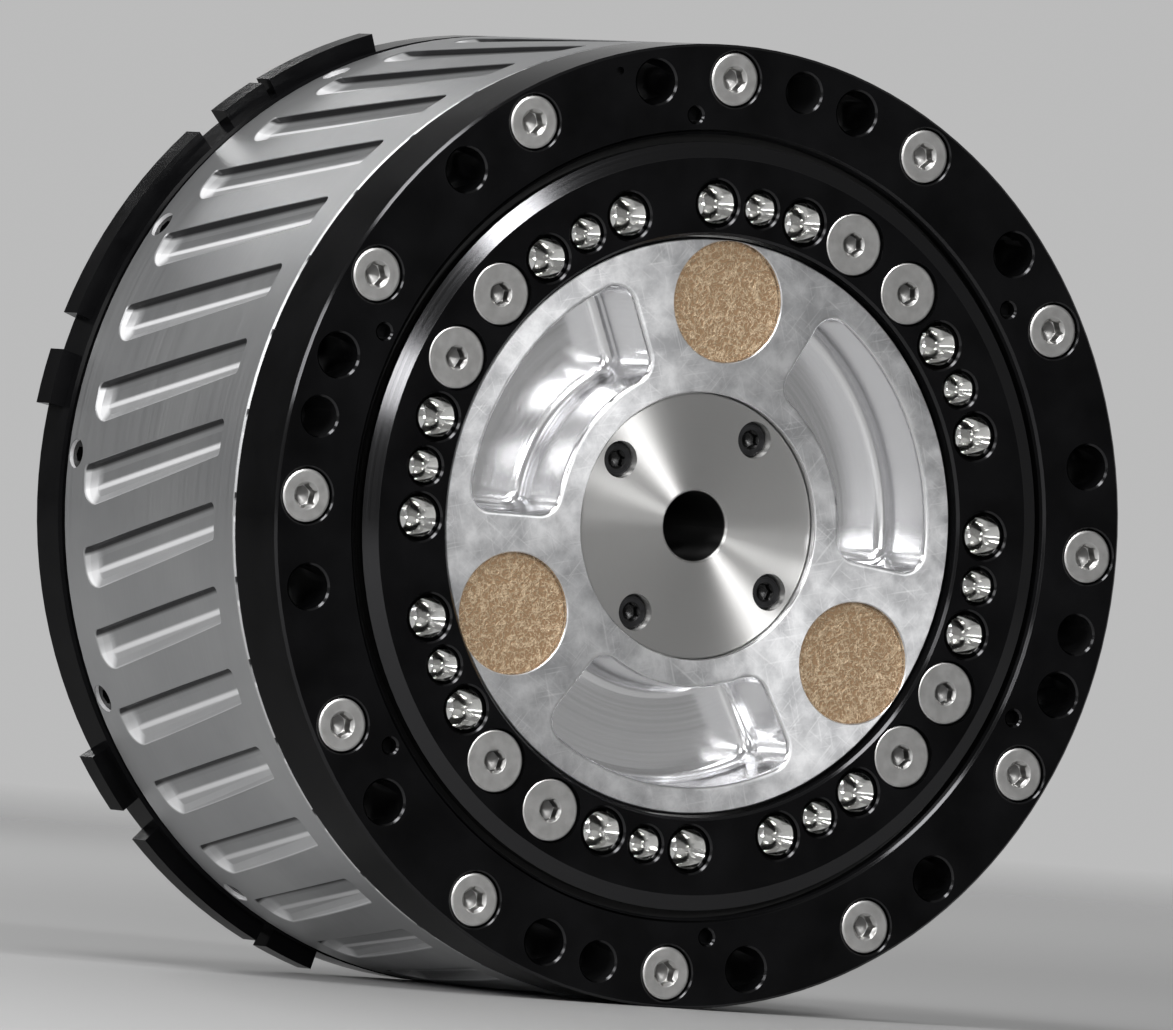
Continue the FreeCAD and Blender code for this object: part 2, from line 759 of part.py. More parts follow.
def carrier_screws():
    screw = cap_screw(size_of("pillar_circle"), CARRIER_SCREW)
    return ring_of("carrier_screws", screw, spaced(PIN_ANGLE + 60, 3))


def planet_pins():
    """Bronze journal pins whose ends show in the carrier's face."""
    pin = rod(size_of("pin_radius"), size_of("pin_face"), size_of("rear_carrier_end"))
    pin = pin.makeChamfer(PIN_EDGE, [edge for edge in pin.Edges if edge.Closed])
    pin.translate(Vec(size_of("pin_circle"), 0, 0))
    for index, angle in enumerate(spaced(PIN_ANGLE, 3), start=1):
        ring_of(f"planet_pin_{index}", pin, [angle])


def centre_shaft():
    """The steel hub with the through bore and the tube that carries it to the back."""
    face = dim("hub_face")
    body = turned("centre_shaft", [
        (dim("bore_radius") + 0.3, face),
        (dim("hub_radius") - 0.15, face),
        (dim("hub_radius"), face + 0.15),
        (dim("hub_radius"), dim("hub_back")),
        (dim("tube_radius"), dim("hub_back")),
        (dim("tube_radius"), dim("cover_end") - 0.2),
        (dim("bore_radius"), dim("cover_end") - 0.2),
        (dim("bore_radius"), face + 0.3),
    ])
    seat = screw_seat(HUB_SCREW, 0, size_of("hub_back") + 0.5, shank_room=0.1)
    drill(body, dim("hub_screw_circle"), PAIR_ANGLE, seat, 4)
    return keep(body, "centre_shaft")


def hub_screws():
    screw = cap_screw(size_of("hub_screw_circle"), HUB_SCREW)
    return ring_of("hub_screws", screw, spaced(PAIR_ANGLE, 4))


def ball_bearing(label, shaft, seat, start):
    """A thin ball bearing as one piece: two rings and a shield set back between them."""
    inner = size_of(shaft) + RUNNING_FIT
    outer = size_of(seat)
    width = size_of("bearing_length")
    groove = 0.3
    third = (outer - inner) / 3
    body = turned(label, [
        (inner, start),
        (inner + third, start),
        (inner + third, start + groove),
        (outer - third, start + groove),
        (outer - third, start),
        (outer, start),
        (outer, start + width),
        (outer - third, start + width),
        (outer - third, start + width - groove),
        (inner + third, start + width - groove),
        (inner + third, start + width),
        (inner, start + width),
    ])
    return keep(body, label)


def gear_module():
    return 2.0 * size_of("pin_circle") / (SUN_TEETH + PLANET_TEETH)


def ring_gear():
    """The fixed internal gear: a ring with the shape of a toothed disc cut out of it."""
    module = gear_module()
    pitch = module * RING_TEETH / 2
    start = size_of("bearing_end")
    length = size_of("gear_end") - start
    space = gear_face(RING_TEETH, pitch, pitch - module, pitch + module * (1 + ROOT_ROOM),
                      math.pi * module / 2 + FLANK_PLAY, PIN_ANGLE, start)
    blank = rod(size_of("bearing_seat_radius"), start, size_of("gear_end"))
    return solid_node("ring_gear", blank.cut(space.extrude(DEPTH_AXIS * length)))


def spur_gear(teeth, first_tooth, start, end):
    """An external gear with its axis on Y."""
    module = gear_module()
    pitch = module * teeth / 2
    face = gear_face(teeth, pitch, pitch - module * (1 + ROOT_ROOM), pitch + module,
                     math.pi * module / 2 - FLANK_PLAY, first_tooth, start)
    return face.extrude(DEPTH_AXIS * (end - start))


def planets():
    """Three planet gears, each pressed on a bush that runs on its journal pin."""
    start = size_of("gear_start")
    end = start + size_of("gear_length")
    bush_radius = 8.0
    for index, angle in enumerate(spaced(PIN_ANGLE, 3), start=1):
        across, upward = polar(size_of("pin_circle"), angle)
        centre = Vec(float(across), 0, float(upward))
        gear = spur_gear(PLANET_TEETH, angle, start, end).cut(rod(bush_radius, start, end))
        solid_node(f"planet_gear_{index}", gear, centre)
        bush = tube(size_of("pin_radius") + RUNNING_FIT, bush_radius, start, end)
        solid_node(f"planet_bush_{index}", bush, centre)


def sun_shaft():
    """The hollow rotor shaft, with the sun gear cut near its front end."""
    start = size_of("gear_start")
    end = start + size_of("gear_length")
    first_tooth = PIN_ANGLE + 180.0 / SUN_TEETH
    shaft = spur_gear(SUN_TEETH, first_tooth, start, end)
    shaft = shaft.fuse([rod(size_of("spigot_radius"), 9.0, start), rod(size_of("shaft_radius"), end, 47.3)])
    return solid_node("sun_shaft", shaft.cut(rod(size_of("shaft_bore"), 8.0, 48.0)))


def motor_plate():
    body = turned("motor_plate", [
        (9.3, dim("plate_start")),
        (dim("motor_bore"), dim("plate_start")),
        (dim("motor_bore"), dim("plate_start") + 2.0),
        (dim("bearing_boss_radius"), dim("plate_start") + 2.0),
        (dim("bearing_boss_radius"), dim("plate_start") + 5.0),
        (dim("rotor_bearing_radius"), dim("plate_start") + 5.0),
        (dim("rotor_bearing_radius"), dim("plate_start") + 1.0),
        (9.3, dim("plate_start") + 1.0),
    ])
    return keep(body, "motor_plate")


def rotor_pieces():
    """The hub on the shaft, the back iron ring, and the magnets set round it."""
    hub = turned("rotor_hub", [
        (dim("shaft_radius"), 31.2),
        (10.0, 31.2),
        (10.0, 35.0),
        (20.4, 35.0),
        (20.4, dim("rotor_start")),
        (dim("core_inner"), dim("rotor_start")),
        (dim("core_inner"), dim("rotor_end")),
        (20.4, dim("rotor_end")),
        (20.4, 38.0),
        (10.0, 38.0),
        (10.0, dim("rotor_end")),
        (dim("shaft_radius"), dim("rotor_end")),
    ])
    keep(hub, "rotor_hub")
    core = tube(size_of("core_inner"), size_of("magnet_inner"), size_of("rotor_start"), size_of("rotor_end"))
    solid_node("rotor_core", core)
    magnet = sector(size_of("magnet_inner"), size_of("magnet_outer"), 360.0 / MAGNET_COUNT - 1.5,
                    size_of("stator_start"), size_of("stator_end"))
    ring_of("rotor_magnets", magnet, spaced(0, MAGNET_COUNT))
    solid_node("encoder_magnet", tube(size_of("shaft_radius"), 9.4, 46.5, 47.3))


def stator():
    """A slotted iron core with one coil round each tooth."""
    start = size_of("stator_start")
    end = size_of("stator_end")
    tooth_width = 4.6
    yoke_inner = 38.8
    shoe_outer = 31.2
    shoe_span = 360.0 / STATOR_TEETH - 3.5
    tooth = Part.makeBox(yoke_inner + 0.5 - shoe_outer + 0.5, end - start, tooth_width,
                         Vec(shoe_outer - 0.5, start, -tooth_width / 2))
    shoe = sector(size_of("stator_inner"), shoe_outer, shoe_span, start, end)
    teeth = []
    for angle in spaced(0, STATOR_TEETH):
        for piece in (tooth, shoe):
            copy = piece.copy()
            copy.rotate(Vec(), FRONT_AXIS, angle)
            teeth.append(copy)
    core = tube(yoke_inner, size_of("motor_bore"), start, end).fuse(teeth).removeSplitter()
    solid_node("stator_core", core)
    overhang = 1.6
    wire = 1.9
    coil_inner = shoe_outer + 0.4
    coil_length = yoke_inner - 0.4 - coil_inner
    coil = Part.makeBox(coil_length, end - start + 2 * overhang, tooth_width + 2 * wire,
                        Vec(coil_inner, start - overhang, -tooth_width / 2 - wire))
    coil = coil.makeFillet(1.5, [edge for edge in coil.Edges
                                 if abs(edge.tangentAt(edge.FirstParameter).x) > 0.99])
    tooth_corner = Vec(coil_inner, start, -tooth_width / 2)
    tooth_room = Part.makeBox(coil_length, end - start, tooth_width, tooth_corner)
    coil = coil.cut(tooth_room)
    ring_of("stator_coils", coil, spaced(0, STATOR_TEETH))


def rear_plate():
    body = turned("rear_plate", [
        (dim("rotor_bearing_radius"), dim("rear_bearing_start")),
        (dim("bearing_boss_radius"), dim("rear_bearing_start")),
        (dim("bearing_boss_radius"), dim("rear_plate_start")),
        (dim("motor_bore"), dim("rear_plate_start")),
        (dim("motor_bore"), dim("housing_end")),
        (7.4, dim("housing_end")),
        (7.4, dim("rear_bearing_start") + dim("bearing_length")),
        (dim("rotor_bearing_radius"), dim("rear_bearing_start") + dim("bearing_length")),
    ])
    return keep(body, "rear_plate")


BOARD_START = 48.0
BOARD_END = 49.6
STANDOFF_CIRCLE = 36.0
SOCKET_HEIGHT = -25.0


def driver_board():
    """The round driver board with its larger components on the back."""
    board = tube(5.4, 40.5, BOARD_START, BOARD_END)
    holes = []
    for angle in spaced(45, 4):
        across, upward = polar(STANDOFF_CIRCLE, angle)
        hole = rod(1.3, BOARD_START, BOARD_END)
        hole.translate(Vec(float(across), 0, float(upward)))
        holes.append(hole)
    board = board.cut(holes)
    parts = []
    for angle in range(0, 181, 36):
        switch = Part.makeBox(5.0, 1.0, 6.0, Vec(26.0, BOARD_END, -3.0))
        switch.rotate(Vec(), FRONT_AXIS, angle)
        parts.append(switch)
    parts.append(Part.makeBox(9.0, 1.2, 9.0, Vec(-4.5, BOARD_END, 10.0)))
    return solid_node("driver_board", board.fuse(parts))


def board_standoffs():
    post = hex_prism(4.0, size_of("housing_end"), BOARD_START - size_of("housing_end"))
    post.translate(Vec(STANDOFF_CIRCLE, 0, 0))
    return ring_of("board_standoffs", post, spaced(45, 4))


def socket_box(width, height, across, end):
    return Part.makeBox(width, end - BOARD_END, height,
                        Vec(across - width / 2, BOARD_END, SOCKET_HEIGHT - height / 2))


SOCKETS = {
    "power_socket": (-10.0, 14.0, 7.0, 55.0, 2, 6.0),
    "signal_socket": (10.0, 10.0, 6.4, 54.6, 4, 2.0),
}


def sockets():
    """Open box headers on the board that reach through the cover, and the pins that stand in them."""
    wall = 1.0
    floor = 1.5
    contacts = []
    for label, (across, width, height, end, count, pitch) in SOCKETS.items():
        shell = socket_box(width, height, across, end)
        room = socket_box(width - 2 * wall, height - 2 * wall, across, end)
        room.translate(Vec(0, floor, 0))
        solid_node(label, shell.cut(room))
        for index in range(count):
            contact = rod(0.09 * pitch + 0.25, BOARD_END + floor, end - 1.2)
            contact.translate(Vec(across + (index - (count - 1) / 2) * pitch, 0, SOCKET_HEIGHT))
            contacts.append(contact)
    solid_node("socket_pins", Part.makeCompound(contacts))


def rear_cover():
    """The gloss black cover: a cup with a stepped rim, catch lugs and openings for the sockets."""
    body = turned("rear_cover", [
        (dim("cover_bore"), dim("housing_end")),
        (dim("cover_groove"), dim("housing_end")),
        (dim("cover_groove"), dim("cover_step")),
        (dim("flange_radius") - 0.3, dim("cover_step")),
        (dim("flange_radius"), dim("cover_step") + 0.3),
        (dim("flange_radius"), dim("cover_rim_end")),
        (dim("flange_radius") - 1.1, dim("cover_end")),
        (dim("tube_radius") + 0.5, dim("cover_end")),
        (dim("tube_radius") + 0.5, dim("cover_end") - dim("cover_wall")),
        (dim("cover_bore"), dim("cover_end") - dim("cover_wall")),
    ])
    lugs = []
    for start, end in LUG_SPANS:
        sketch = outline(body, "YZ_Plane", [
            (dim("lug_start"), dim("flange_radius") - 1.0),
            (dim("lug_start"), dim("lug_radius")),
            (dim("lug_end"), dim("lug_radius")),
            (dim("lug_end"), dim("flange_radius") - 1.0),
        ], turn=90.0 - (start + end) / 2)
        lug = body.newObject("PartDesign::Revolution", "rear_cover_lug")
        lug.Profile = sketch
        lug.ReferenceAxis = (sketch, ["H_Axis"])
        lug.Midplane = True
        lug.Angle = end - start
        lugs.append(lug)
        doc.recompute()
    repeat(body, lugs, 2)
    before = body.Shape.Volume
    for across, width, height, *_ in SOCKETS.values():
        left, right = across - width / 2, across + width / 2
        low, high = SOCKET_HEIGHT - height / 2, SOCKET_HEIGHT + height / 2
        window = body.newObject("PartDesign::Pocket", "rear_cover_window")
        corners = [(left, low), (right, low), (right, high), (left, high)]
        window.Profile = outline(body, "XZ_Plane", corners, shift=-50.0)
        window.Length = 6.0
        body.Tip = window
        doc.recompute()
    must_cut(body, before)
    inside = size_of("housing_end") - 0.5
    seat = screw_seat(COVER_SCREW, size_of("cover_end") + 0.5, inside, head_room=0.4, shank_room=0.15)
    drill(body, dim("cover_screw_circle"), COVER_SCREW_ANGLE, seat, 6)
    return keep(body, "rear_cover")


def cover_screws():
    screw = cap_screw(size_of("cover_screw_circle"), COVER_SCREW)
    return ring_of("cover_screws", screw, spaced(COVER_SCREW_ANGLE, 6))


front_flange()
flange_screws()
dust_seal()
bearing_rings()
bearing_rollers()
motor_housing()
housing_plugs()
ring_gear()
output_ring()
output_screws()
thread_inserts()
dowel_bushes()
carrier_front()
carrier_rear()
carrier_screws()
planet_pins()
planets()
centre_shaft()
hub_screws()
sun_shaft()
ball_bearing("sun_bearing", "spigot_radius", "sun_bearing_radius", size_of("sun_bearing_start"))
motor_plate()
ball_bearing("rotor_bearing_front", "shaft_radius", "rotor_bearing_radius", size_of("plate_start") + 1.0)
rotor_pieces()
stator()
ball_bearing("rotor_bearing_rear", "shaft_radius", "rotor_bearing_radius", size_of("rear_bearing_start"))
rear_plate()
driver_board()
board_standoffs()
sockets()
rear_cover()
cover_screws()
doc.recompute()

for item in doc.Objects:
    if "Invalid" in item.State or "Error" in item.State:
        raise RuntimeError(f"{item.Label} failed: {item.State}")
for item in nodes:
    if item.Shape.isNull() or not item.Shape.isValid():
        raise RuntimeError(f"{item.Label} has no valid shape")
os.makedirs("parts", exist_ok=True)
for item in nodes:
    item.Shape.exportStep(f"parts/{item.Label}.step")
    print(item.Label, len(item.Shape.Solids), round(item.Shape.Volume, 1))
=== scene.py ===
import math

import bmesh
import bpy
from mathutils import Matrix, Vector


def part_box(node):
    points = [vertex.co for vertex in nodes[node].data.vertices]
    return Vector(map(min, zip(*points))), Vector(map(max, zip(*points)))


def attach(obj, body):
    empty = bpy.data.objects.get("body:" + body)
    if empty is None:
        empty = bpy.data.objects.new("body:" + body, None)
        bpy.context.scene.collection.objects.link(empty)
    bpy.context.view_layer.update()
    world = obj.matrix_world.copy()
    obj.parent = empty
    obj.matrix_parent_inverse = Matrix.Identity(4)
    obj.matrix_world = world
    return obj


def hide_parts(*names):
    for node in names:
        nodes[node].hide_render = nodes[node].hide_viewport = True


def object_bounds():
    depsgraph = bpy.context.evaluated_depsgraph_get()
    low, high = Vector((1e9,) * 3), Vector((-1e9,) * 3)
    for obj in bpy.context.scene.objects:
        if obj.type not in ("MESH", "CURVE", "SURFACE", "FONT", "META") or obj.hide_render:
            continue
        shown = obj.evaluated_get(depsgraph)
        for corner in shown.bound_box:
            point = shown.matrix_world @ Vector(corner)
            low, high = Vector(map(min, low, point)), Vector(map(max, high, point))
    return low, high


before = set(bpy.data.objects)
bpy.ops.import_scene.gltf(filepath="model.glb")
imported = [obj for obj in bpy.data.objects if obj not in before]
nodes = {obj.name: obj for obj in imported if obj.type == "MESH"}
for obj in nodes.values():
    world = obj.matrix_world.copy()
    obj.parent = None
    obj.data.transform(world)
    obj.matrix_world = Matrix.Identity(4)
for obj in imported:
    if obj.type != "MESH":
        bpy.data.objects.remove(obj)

cad_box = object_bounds()

# The can round the motor: a tube turned from clear aluminium, with 36 leaning cooling pockets
# milled into it. The lathe's feed leaves fine rings on its skin. Each pocket has painted shade
# under its upper edge, and painted highlights on its crease, lower lip and back end, where the
# metal is also made less metallic.
MM = 0.001
CAN_SKIN = (0.56, 0.565, 0.57)
CAN_SHADE = (0.46, 0.465, 0.475)
CAN_RADIUS = 49.0 * MM
CAN_FEED = (30, 5200, 30)
POCKETS = 36
POCKET_ANGLE = 87.1
POCKET_SIDE = 5.0 * MM
POCKET_START = 13.2 * MM
POCKET_LEAN = 6.0 / 28.7
POCKET_SHALLOW = 0.04 * MM
POCKET_DEEP = 0.12 * MM
POCKET_WALL = 0.5 * MM
POCKET_CREASE = 2.75 * MM
CREASE_HALF = 0.15 * MM
LIP_DEPTH = 0.22 * MM
LIP_START = 2.8 * MM
SCOOP_START = 38.8 * MM
SCOOP_SIDE = 1.6 * MM
SCOOP_FADE = 1.4 * MM
# Painted shade for the pockets' upper walls, and painted highlight for their creases, lips and back ends.
POCKET_PAINTED_SHADE = (0.05, 0.05, 0.052)
POCKET_PAINTED_HIGHLIGHT = (0.95, 0.95, 0.96)


class Finish:
    """A material on Object coordinates, in metres, built up round one shader."""

    def __init__(self, name, colour, metallic, roughness):
        self.material = bpy.data.materials.new(name)
        self.material.use_nodes = True
        self.tree = self.material.node_tree
        self.shader = self.tree.nodes["Principled BSDF"]
        self.into("Base Color", (*colour, 1.0))
        self.into("Metallic", metallic)
        self.into("Roughness", roughness)
        self.place = self.add("ShaderNodeTexCoord").outputs["Object"]

    def connect(self, value, socket):
        if isinstance(value, bpy.types.NodeSocket):
            self.tree.links.new(value, socket)
        else:
            socket.default_value = value

    def into(self, name, value):
        self.connect(value, self.shader.inputs[name])

    def add(self, kind, inputs=None, **settings):
        node = self.tree.nodes.new(kind)
        for name, value in settings.items():
            setattr(node, name, value)
        for name, value in (inputs or {}).items():
            self.connect(value, node.inputs[name])
        return node

    def stretched(self, scale, place=None):
        return self.add("ShaderNodeMapping", {"Vector": place or self.place, "Scale": scale}).outputs[0]

    def noise(self, scale, stretch=(1, 1, 1), detail=3.0, roughness=0.5, place=None):
        inputs = {"Scale": scale, "Detail": detail, "Roughness": roughness}
        inputs["Vector"] = self.stretched(stretch, place)
        return self.add("ShaderNodeTexNoise", inputs).outputs["Fac"]

    def math(self, operation, first, second=0.0):
        return self.add("ShaderNodeMath", {0: first, 1: second}, operation=operation).outputs[0]

    def span(self, value, start, end, low, high):
        """Low where the value is at start or before it, high at end or after it."""
        inputs = {"Value": value, "From Min": start, "From Max": end, "To Min": low, "To Max": high}
        return self.add("ShaderNodeMapRange", inputs).outputs[0]

    def mix(self, share, first, second):
        inputs = {0: share, 6: first, 7: second}
        for key in (6, 7):
            if isinstance(inputs[key], tuple):
                inputs[key] = (*inputs[key], 1.0)
        return self.add("ShaderNodeMix", inputs, data_type="RGBA").outputs[2]

    def blend(self, share, first, second):
        return self.add("ShaderNodeMix", {0: share, 2: first, 3: second}).outputs[0]

    def length(self, keep, place=None):
        """Distance from the origin, counting only the axes that keep has as 1."""
        return self.add(
            "ShaderNodeVectorMath", {0: self.stretched(keep, place)}, operation="LENGTH"
        ).outputs["Value"]

    def depth(self):
        return self.add("ShaderNodeSeparateXYZ", {0: self.place}).outputs["Y"]

    def bump(self, height, strength, distance):
        inputs = {"Height": height, "Strength": strength, "Distance": distance}
        self.into("Normal", self.add("ShaderNodeBump", inputs).outputs[0])

    def dress(self, *names):
        for name in names:
            for slot in nodes[name].material_slots:
                slot.material = self.material


AROUND = (1, 0, 1)
QUARTER_TURN = 0.25


def lathe_marks(finish, marks, place=None):
    """Fine rings about the axis, so many marks to the metre of radius."""
    rings = finish.math("MULTIPLY", finish.length(AROUND, place), marks)
    return finish.add("ShaderNodeTexNoise", {"W": rings, "Scale": 1.0}, noise_dimensions="1D").outputs["Fac"]


def ring_lay(finish, amount):
    """Draws highlights out across the rings that the lathe left."""
    finish.into("Anisotropic", amount)
    finish.into("Anisotropic Rotation", QUARTER_TURN)
    finish.into("Tangent", finish.add("ShaderNodeTangent", direction_type="RADIAL", axis="Y").outputs[0])


can = Finish("turned_can", CAN_SKIN, 1.0, 0.34)
can_rings = can.noise(1.0, CAN_FEED, detail=2.0)
can_clouds = can.noise(60.0, detail=4.0)
can_at = can.add("ShaderNodeSeparateXYZ", {0: can.place}).outputs
can_round = can.math("MULTIPLY", can.math("ARCTAN2", can_at["Z"], can_at["X"]), CAN_RADIUS)
can_leaning = can.math("SUBTRACT", can_round, can.math("MULTIPLY", can_at["Y"], POCKET_LEAN))
pocket_zero = POCKET_SIDE + POCKET_LEAN * POCKET_START - math.radians(POCKET_ANGLE) * CAN_RADIUS
pocket_pitch = math.tau * CAN_RADIUS / POCKETS
pocket_turns = {0: can.math("ADD", can_leaning, pocket_zero), 1: pocket_pitch, 2: 0.0}
down_pocket = can.add("ShaderNodeMath", pocket_turns, operation="WRAP").outputs[0]
can_depth = can.math("SUBTRACT", CAN_RADIUS, can.length(AROUND))
below_skin = can.span(can_depth, POCKET_SHALLOW, POCKET_DEEP, 0.0, 1.0)
upper_wall = can.span(down_pocket, POCKET_WALL, POCKET_WALL + 0.4 * MM, 1.0, 0.0)
# Painted shade under each pocket's upper edge, where the wall goes down below the skin.
wall_painted_shade = can.math("MULTIPLY", below_skin, upper_wall)
crease_gap = can.math("ABSOLUTE", can.math("SUBTRACT", down_pocket, POCKET_CREASE))
crease = can.span(crease_gap, CREASE_HALF, 3 * CREASE_HALF, 1.0, 0.0)
run_out = can.span(down_pocket, POCKET_CREASE, POCKET_CREASE + 0.2 * MM, 0.0, 0.3)
lip = can.math(
    "MULTIPLY", can.span(can_depth, POCKET_DEEP, LIP_DEPTH, 0.7, 0.0),
    can.span(down_pocket, LIP_START, LIP_START + 0.2 * MM, 0.0, 1.0),
)
scoop = can.math(
    "MULTIPLY", can.span(can_at["Y"], SCOOP_START, SCOOP_START + SCOOP_FADE, 0.0, 1.0),
    can.span(down_pocket, SCOOP_SIDE, SCOOP_SIDE + SCOOP_FADE, 0.4, 1.0),
)
# Where each pocket gets a painted highlight: its crease, its run-out, its lower lip and its back end.
highlight_places = can.math("MAXIMUM", can.math("MAXIMUM", crease, run_out), can.math("MAXIMUM", lip, scoop))
painted_slope_highlight = can.math("MULTIPLY", below_skin, highlight_places)
can_skin = can.mix(can.span(can_clouds, 0.3, 0.7, 0.0, 1.0), CAN_SHADE, CAN_SKIN)
# The painted highlight and then the painted shade go into the skin's colour; the painted highlight is also
# made less metallic, so it shows bright.
can_skin = can.mix(painted_slope_highlight, can_skin, POCKET_PAINTED_HIGHLIGHT)
can.into("Base Color", can.mix(wall_painted_shade, can_skin, POCKET_PAINTED_SHADE))
can.into("Metallic", can.span(painted_slope_highlight, 0.0, 1.0, 1.0, 0.15))
can.into("Roughness", can.span(can_rings, 0.3, 0.7, 0.38, 0.46))
ring_lay(can, 0.35)
can.bump(can_rings, 0.06, 0.02 * MM)
can.dress("motor_housing")

# The motor inside the can: stacked core plates, copper coils, magnets on a plated steel ring,
# and the walls and bearings that hold them. The closed can hides them all.
def inner_finish(name, colour, metallic, roughness, grain):
    """A plain workshop finish, with grain marks to the metre."""
    finish = Finish(name, colour, metallic, roughness)
    marks = finish.noise(grain, detail=4.0)
    darker = tuple(0.78 * part for part in colour)
    finish.into("Base Color", finish.mix(finish.span(marks, 0.3, 0.7, 0.0, 1.0), darker, colour))
    finish.into("Roughness", finish.span(marks, 0.3, 0.7, roughness - 0.06, roughness + 0.08))
    finish.bump(marks, 0.1, 0.02 * MM)
    return finish


PLATE_PITCH = 0.35 * MM
core = inner_finish("core_plates", (0.22, 0.22, 0.235), 1.0, 0.42, 900.0)
core_edges = core.math("FRACT", core.math("DIVIDE", core.depth(), PLATE_PITCH))
core.bump(core.span(core_edges, 0.8, 1.0, 1.0, 0.0), 0.5, 0.03 * MM)
core.dress("stator_core", "rotor_core")

WIRE_PITCH = 0.45 * MM
coils = inner_finish("coil_wire", (0.62, 0.27, 0.11), 1.0, 0.3, 700.0)
coil_turns = coils.math("SINE", coils.math("MULTIPLY", coils.depth(), math.tau / WIRE_PITCH))
coils.bump(coil_turns, 0.6, 0.1 * MM)
coils.dress("stator_coils")

inner_finish("plated_magnet", (0.60, 0.58, 0.54), 1.0, 0.22, 500.0).dress("rotor_magnets")
inner_finish("bonded_magnet", (0.05, 0.05, 0.055), 0.0, 0.55, 1500.0).dress("encoder_magnet")
inner_finish("plate_aluminium", (0.66, 0.66, 0.67), 1.0, 0.38, 400.0).dress(
    "motor_plate", "rear_plate", "rotor_hub"
)
inner_finish("bearing_steel", (0.62, 0.62, 0.63), 1.0, 0.16, 300.0).dress(
    "rotor_bearing_front", "rotor_bearing_rear", "sun_bearing",
    "bearing_outer_ring", "bearing_rollers",
)

# The gear train behind the carrier: hobbed steel sun, planets and ring, with bronze bushes in
# the planets. The seal is the rubber lip that shows as a dark gap round the output.
inner_finish("gear_steel", (0.40, 0.40, 0.41), 1.0, 0.30, 800.0).dress(
    "ring_gear", "sun_shaft", "planet_gear_1", "planet_gear_2", "planet_gear_3"
)
inner_finish("bush_bronze", (0.55, 0.38, 0.17), 1.0, 0.34, 900.0).dress(
    "planet_bush_1", "planet_bush_2", "planet_bush_3"
)
inner_finish("seal_rubber", (0.012, 0.012, 0.012), 0.0, 0.62, 2500.0).dress("dust_seal")

# The front flange: a ring of aluminium, turned, drilled and then anodised black. The dye
# leaves a dark skin with a faint cloud in it, glossier on the broken edges and reamed walls.
BLACK_SKIN = (0.003, 0.003, 0.0032)
BLACK_CLOUD = (0.0065, 0.0065, 0.007)
DARK_METAL = (0.05, 0.05, 0.052)
EDGE_DEPTH = 0.26 * MM
FLANGE_CIRCLE = 45.5 * MM
DOWEL_ANGLE = 79.8
DOWEL_REACH = 2.04 * MM


def anodised_black(name, glossy_places):
    """Black dye, with a glossier dark skin in the places that the function finds."""
    finish = Finish(name, BLACK_SKIN, 0.0, 0.2)
    clouds = finish.noise(140.0, detail=5.0)
    pores = finish.noise(9000.0, detail=2.0)
    lathe = lathe_marks(finish, 7000.0)
    glossy = glossy_places(finish)
    dye = finish.mix(finish.span(clouds, 0.3, 0.7, 0.0, 1.0), BLACK_SKIN, BLACK_CLOUD)
    finish.into("Base Color", finish.mix(glossy, dye, DARK_METAL))
    finish.into("Metallic", glossy)
    dye_roughness = finish.span(clouds, 0.3, 0.7, 0.08, 0.14)
    glossy_roughness = finish.span(lathe, 0.3, 0.7, 0.12, 0.20)
    finish.into("Roughness", finish.blend(glossy, dye_roughness, glossy_roughness))
    finish.into("Specular IOR Level", 0.03)
    ring_lay(finish, 0.6)
    finish.bump(finish.math("ADD", pores, lathe), 0.015, 0.012 * MM)
    return finish


def near_holes(finish, count, circle, first, reach):
    """One within reach of the axis of any hole that is set evenly round a circle, else nothing."""
    at = finish.add("ShaderNodeSeparateXYZ", {0: finish.place}).outputs
    angle = finish.math("SUBTRACT", finish.math("ARCTAN2", at["Z"], at["X"]), math.radians(first))
    half = math.pi / count
    turned = finish.add("ShaderNodeMath", {0: angle, 1: half, 2: -half}, operation="WRAP").outputs[0]
    out = finish.length(AROUND)
    along = finish.math("SUBTRACT", finish.math("MULTIPLY", out, finish.math("COSINE", turned)), circle)
    aside = finish.math("MULTIPLY", out, finish.math("SINE", turned))
    square = finish.math("ADD", finish.math("MULTIPLY", along, along), finish.math("MULTIPLY", aside, aside))
    return finish.span(finish.math("SQRT", square), reach, 1.01 * reach, 1.0, 0.0)


def broken_edges(finish, face):
    """The chamfers, which lie just behind the depth of the face that they break."""
    behind = finish.math("SUBTRACT", finish.depth(), face)
    begun = finish.span(behind, 0.004 * MM, 0.008 * MM, 0.0, 1.0)
    return finish.math("MULTIPLY", begun, finish.span(behind, EDGE_DEPTH, 1.05 * EDGE_DEPTH, 1.0, 0.0))


def flange_gloss(finish):
    reamed = near_holes(finish, count=4, circle=FLANGE_CIRCLE, first=DOWEL_ANGLE, reach=DOWEL_REACH)
    return finish.math("MAXIMUM", broken_edges(finish, 0.0), finish.math("MULTIPLY", reamed, 0.6))


anodised_black("flange_black", flange_gloss).dress("front_flange")

# The flange's 12 low-head screws, of plated steel, with hexagon sockets. They sit in deep
# seats round the edge and hold the flange to the can.
RING_STEPS = 72


def round_ring(radius, depth):
    return [(radius, depth)] * RING_STEPS


def hex_ring(half_width, depth):
    """A six-sided socket's outline: half_width is from its middle to a flat."""
    sixth = math.tau / 6
    return [
        (half_width / math.cos((math.tau * step / RING_STEPS) % sixth - sixth / 2), depth)
        for step in range(RING_STEPS)
    ]


